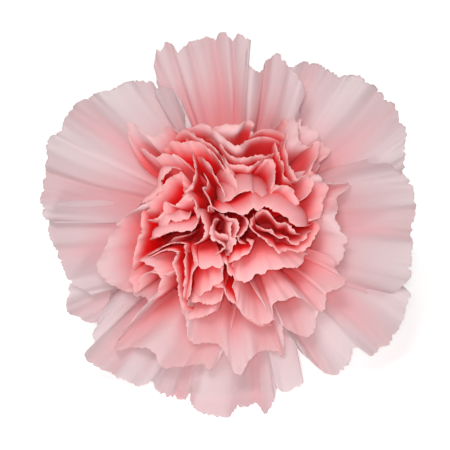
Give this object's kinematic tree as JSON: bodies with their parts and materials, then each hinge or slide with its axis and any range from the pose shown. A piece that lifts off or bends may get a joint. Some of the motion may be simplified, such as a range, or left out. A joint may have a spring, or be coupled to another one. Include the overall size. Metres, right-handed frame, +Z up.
{
  "type": "cut carnation",
  "caption": "Double pink carnation lying on a surface: layered, waved and saw-edged petals in a tubular calyx with bracts, a short cut stem and a pair of narrow leaves.",
  "frame": {"origin": "middle of the part's footprint, on the surface that it lies on", "axes": "+Z up from the surface, +Y along the stem from the bloom to the cut end, +X to the right as one looks into the bloom's face; the face looks along -Y and 30 degrees up"},
  "size_m": [0.0786, 0.1392, 0.0692],
  "materials": {
    "petals": "soft matt petal, red deep in the head, pale pink at the margins",
    "calyx_skin": "waxy grey-green skin",
    "bract_skin": "waxy grey-green skin, dry pale tips",
    "stem_skin": "waxy grey-green skin with a pale bloom",
    "leaf_skin": "waxy blue-green leaf"
  },
  "bodies": {
    "root": {"bloom": "petals", "calyx": "calyx_skin", "bracts": "bract_skin", "stem": "stem_skin", "leaf_left": "leaf_skin", "leaf_right": "leaf_skin"}
  },
  "joints": []
}
